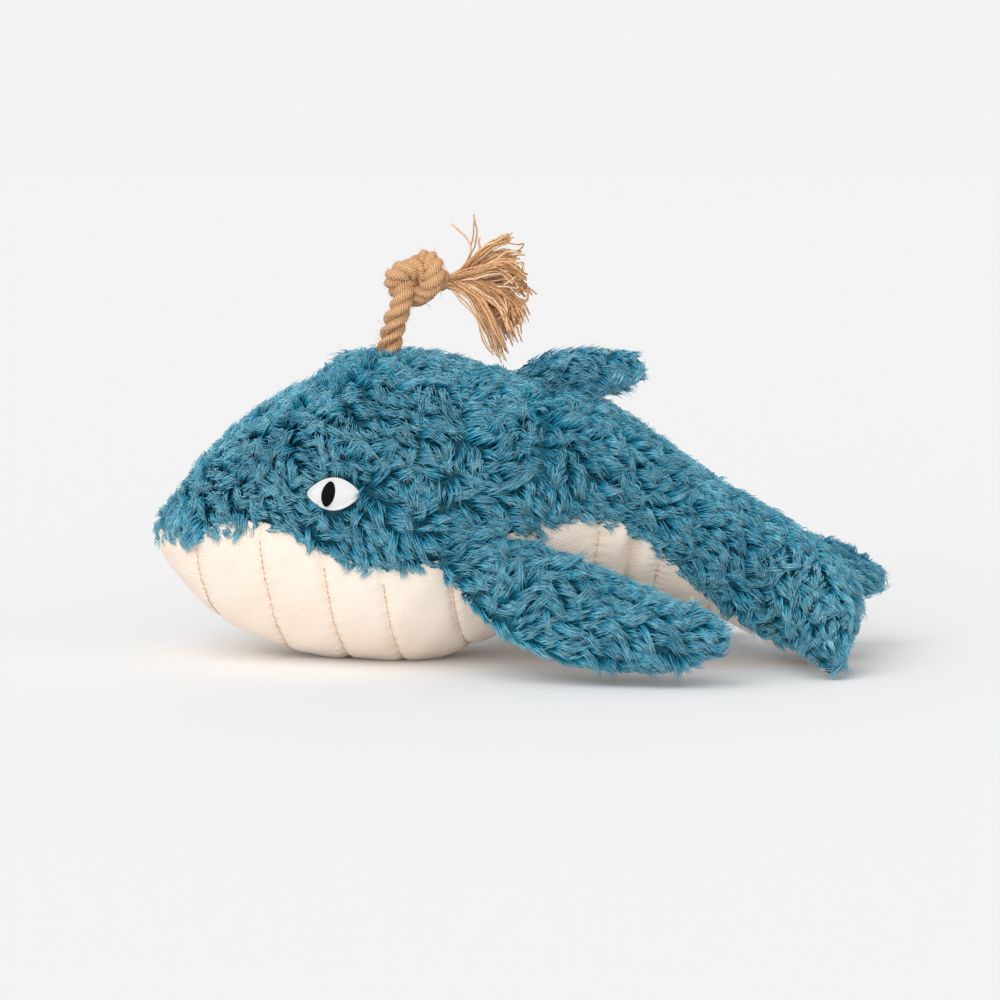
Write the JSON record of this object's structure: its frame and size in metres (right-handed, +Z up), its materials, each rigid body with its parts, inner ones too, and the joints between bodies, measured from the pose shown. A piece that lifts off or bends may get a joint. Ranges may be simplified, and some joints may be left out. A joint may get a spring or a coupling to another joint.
{
  "type": "plush whale toy",
  "caption": "Stuffed whale with plush back, padded fins and tail flukes, a topstitched canvas belly, embroidered eyes and a knotted rope spout.",
  "frame": {"origin": "on the surface the whale rests on, in its plane of symmetry, near the middle of its length", "axes": "+X from the nose to the tail, +Y to the whale's right side, +Z up"},
  "size_m": [0.3184, 0.171, 0.1834],
  "materials": {
    "fur_blue": "long-pile plush",
    "canvas_cream": "plain-woven cotton canvas",
    "eye_white": "satin-stitch embroidery",
    "pupil_black": "satin-stitch embroidery",
    "jute_rope": "twisted jute",
    "stuffing_white": "polyester fibre filling",
    "squeaker_plastic": "soft moulded plastic"
  },
  "bodies": {
    "trunk": {"trunk_stuffing": "stuffing_white", "trunk_back_panel_left": "fur_blue", "trunk_back_panel_right": "fur_blue", "trunk_belly_panel": "canvas_cream", "eye_patch_left": "eye_white", "eye_patch_right": "eye_white", "pupil_left": "pupil_black", "pupil_right": "pupil_black", "squeaker_bulb": "squeaker_plastic", "squeaker_reed": "squeaker_plastic", "rope_root": "jute_rope"},
    "tail": {"tail_stuffing": "stuffing_white", "tail_back_panel_left": "fur_blue", "tail_back_panel_right": "fur_blue", "tail_belly_panel": "canvas_cream"},
    "left_fin": {"left_fin_upper_panel": "fur_blue", "left_fin_under_panel": "fur_blue", "left_fin_stuffing": "stuffing_white"},
    "right_fin": {"right_fin_upper_panel": "fur_blue", "right_fin_under_panel": "fur_blue", "right_fin_stuffing": "stuffing_white"},
    "dorsal_fin": {"dorsal_fin_left_panel": "fur_blue", "dorsal_fin_right_panel": "fur_blue", "dorsal_fin_stuffing": "stuffing_white"},
    "left_fluke": {"left_fluke_upper_panel": "fur_blue", "left_fluke_under_panel": "canvas_cream", "left_fluke_stuffing": "stuffing_white"},
    "right_fluke": {"right_fluke_upper_panel": "fur_blue", "right_fluke_under_panel": "canvas_cream", "right_fluke_stuffing": "stuffing_white"},
    "spout": {"spout_rope": "jute_rope"},
    "tassel": {"tassel": "jute_rope"}
  },
  "joints": [
    {"name": "tail_bend", "type": "hinge", "parent": "trunk", "child": "tail", "pos_m": [0.04556, 0, 0.06763], "axis": [0, 1, 0], "range_deg": [-20, 6], "stiffness_Nm_per_rad": 0.6},
    {"name": "left_fin_fold", "type": "hinge", "parent": "trunk", "child": "left_fin", "pos_m": [-0.011, -0.05961, 0.05016], "axis": [-0.9168, -0.1521, -0.3692], "range_deg": [0, 60], "stiffness_Nm_per_rad": 0.05},
    {"name": "right_fin_fold", "type": "hinge", "parent": "trunk", "child": "right_fin", "pos_m": [-0.011, 0.05961, 0.05016], "axis": [0.9168, -0.1521, 0.3692], "range_deg": [0, 60], "stiffness_Nm_per_rad": 0.05},
    {"name": "dorsal_fin_fold", "type": "hinge", "parent": "trunk", "child": "dorsal_fin", "pos_m": [0.0172, 0, 0.11802], "axis": [0.9523, 0, -0.305], "range_deg": [-35, 35], "stiffness_Nm_per_rad": 0.02},
    {"name": "left_fluke_fold", "type": "hinge", "parent": "tail", "child": "left_fluke", "pos_m": [0.1279, -0.027, 0.04058], "axis": [-0.8433, -0.1824, 0.5056], "range_deg": [0, 60], "stiffness_Nm_per_rad": 0.03},
    {"name": "right_fluke_fold", "type": "hinge", "parent": "tail", "child": "right_fluke", "pos_m": [0.1279, 0.027, 0.04058], "axis": [0.8433, -0.1824, -0.5056], "range_deg": [-4, 35], "stiffness_Nm_per_rad": 0.03},
    {"name": "spout_lean", "type": "hinge", "parent": "trunk", "child": "spout", "pos_m": [-0.0546, 0, 0.1325], "axis": [0, 1, 0], "range_deg": [-30, 5], "stiffness_Nm_per_rad": 0.04},
    {"name": "tassel_swing", "type": "hinge", "parent": "spout", "child": "tassel", "pos_m": [-0.02525, 0.00564, 0.15953], "axis": [0, 1, 0], "range_deg": [-40, 5], "stiffness_Nm_per_rad": 0.01}
  ]
}
